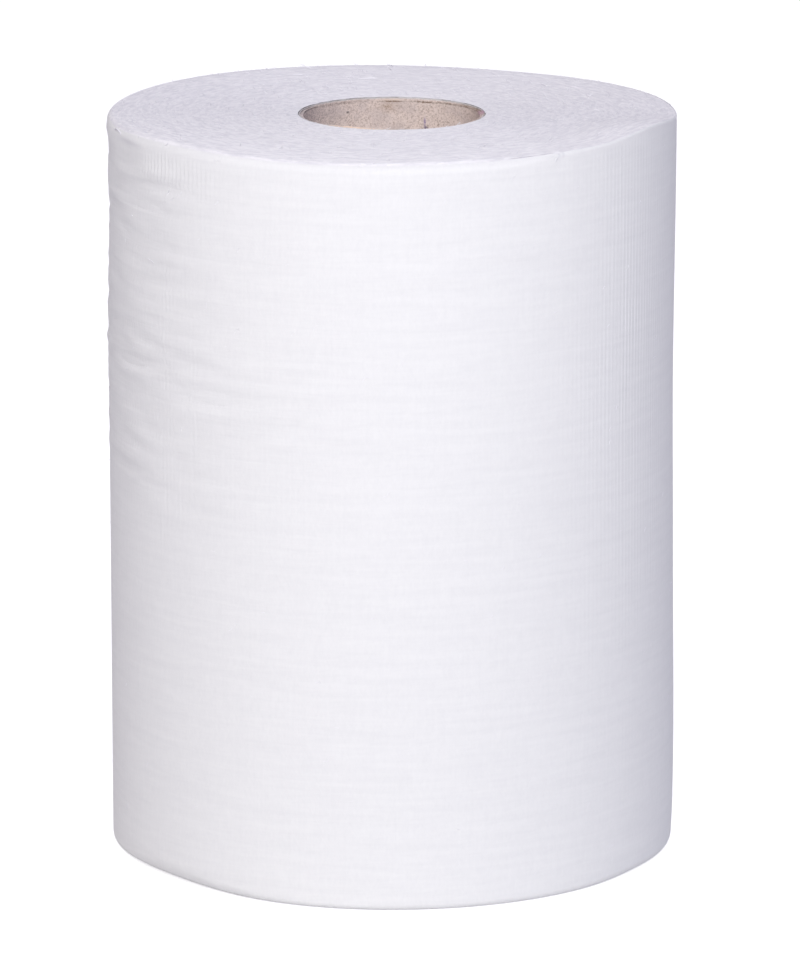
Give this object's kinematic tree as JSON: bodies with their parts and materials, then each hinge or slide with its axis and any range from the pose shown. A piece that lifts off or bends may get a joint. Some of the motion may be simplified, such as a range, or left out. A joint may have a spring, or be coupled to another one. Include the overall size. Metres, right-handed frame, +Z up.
{
  "type": "nonwoven wipe roll",
  "caption": "Tall roll of white nonwoven wipe cloth, wound on an open cardboard core that slips over a dispenser spindle.",
  "frame": {"origin": "middle of the bottom end, on the roll's axis", "axes": "+Z up the roll's axis; the picture is taken from -Y, looking along +Y, with +X to the right; the loose end of the web is at the hidden back"},
  "size_m": [0.2458, 0.2462, 0.322],
  "materials": {
    "nonwoven_web": "matte",
    "core_board": "matte"
  },
  "bodies": {
    "root": {"wound_web": "nonwoven_web", "cardboard_core": "core_board"}
  },
  "joints": []
}
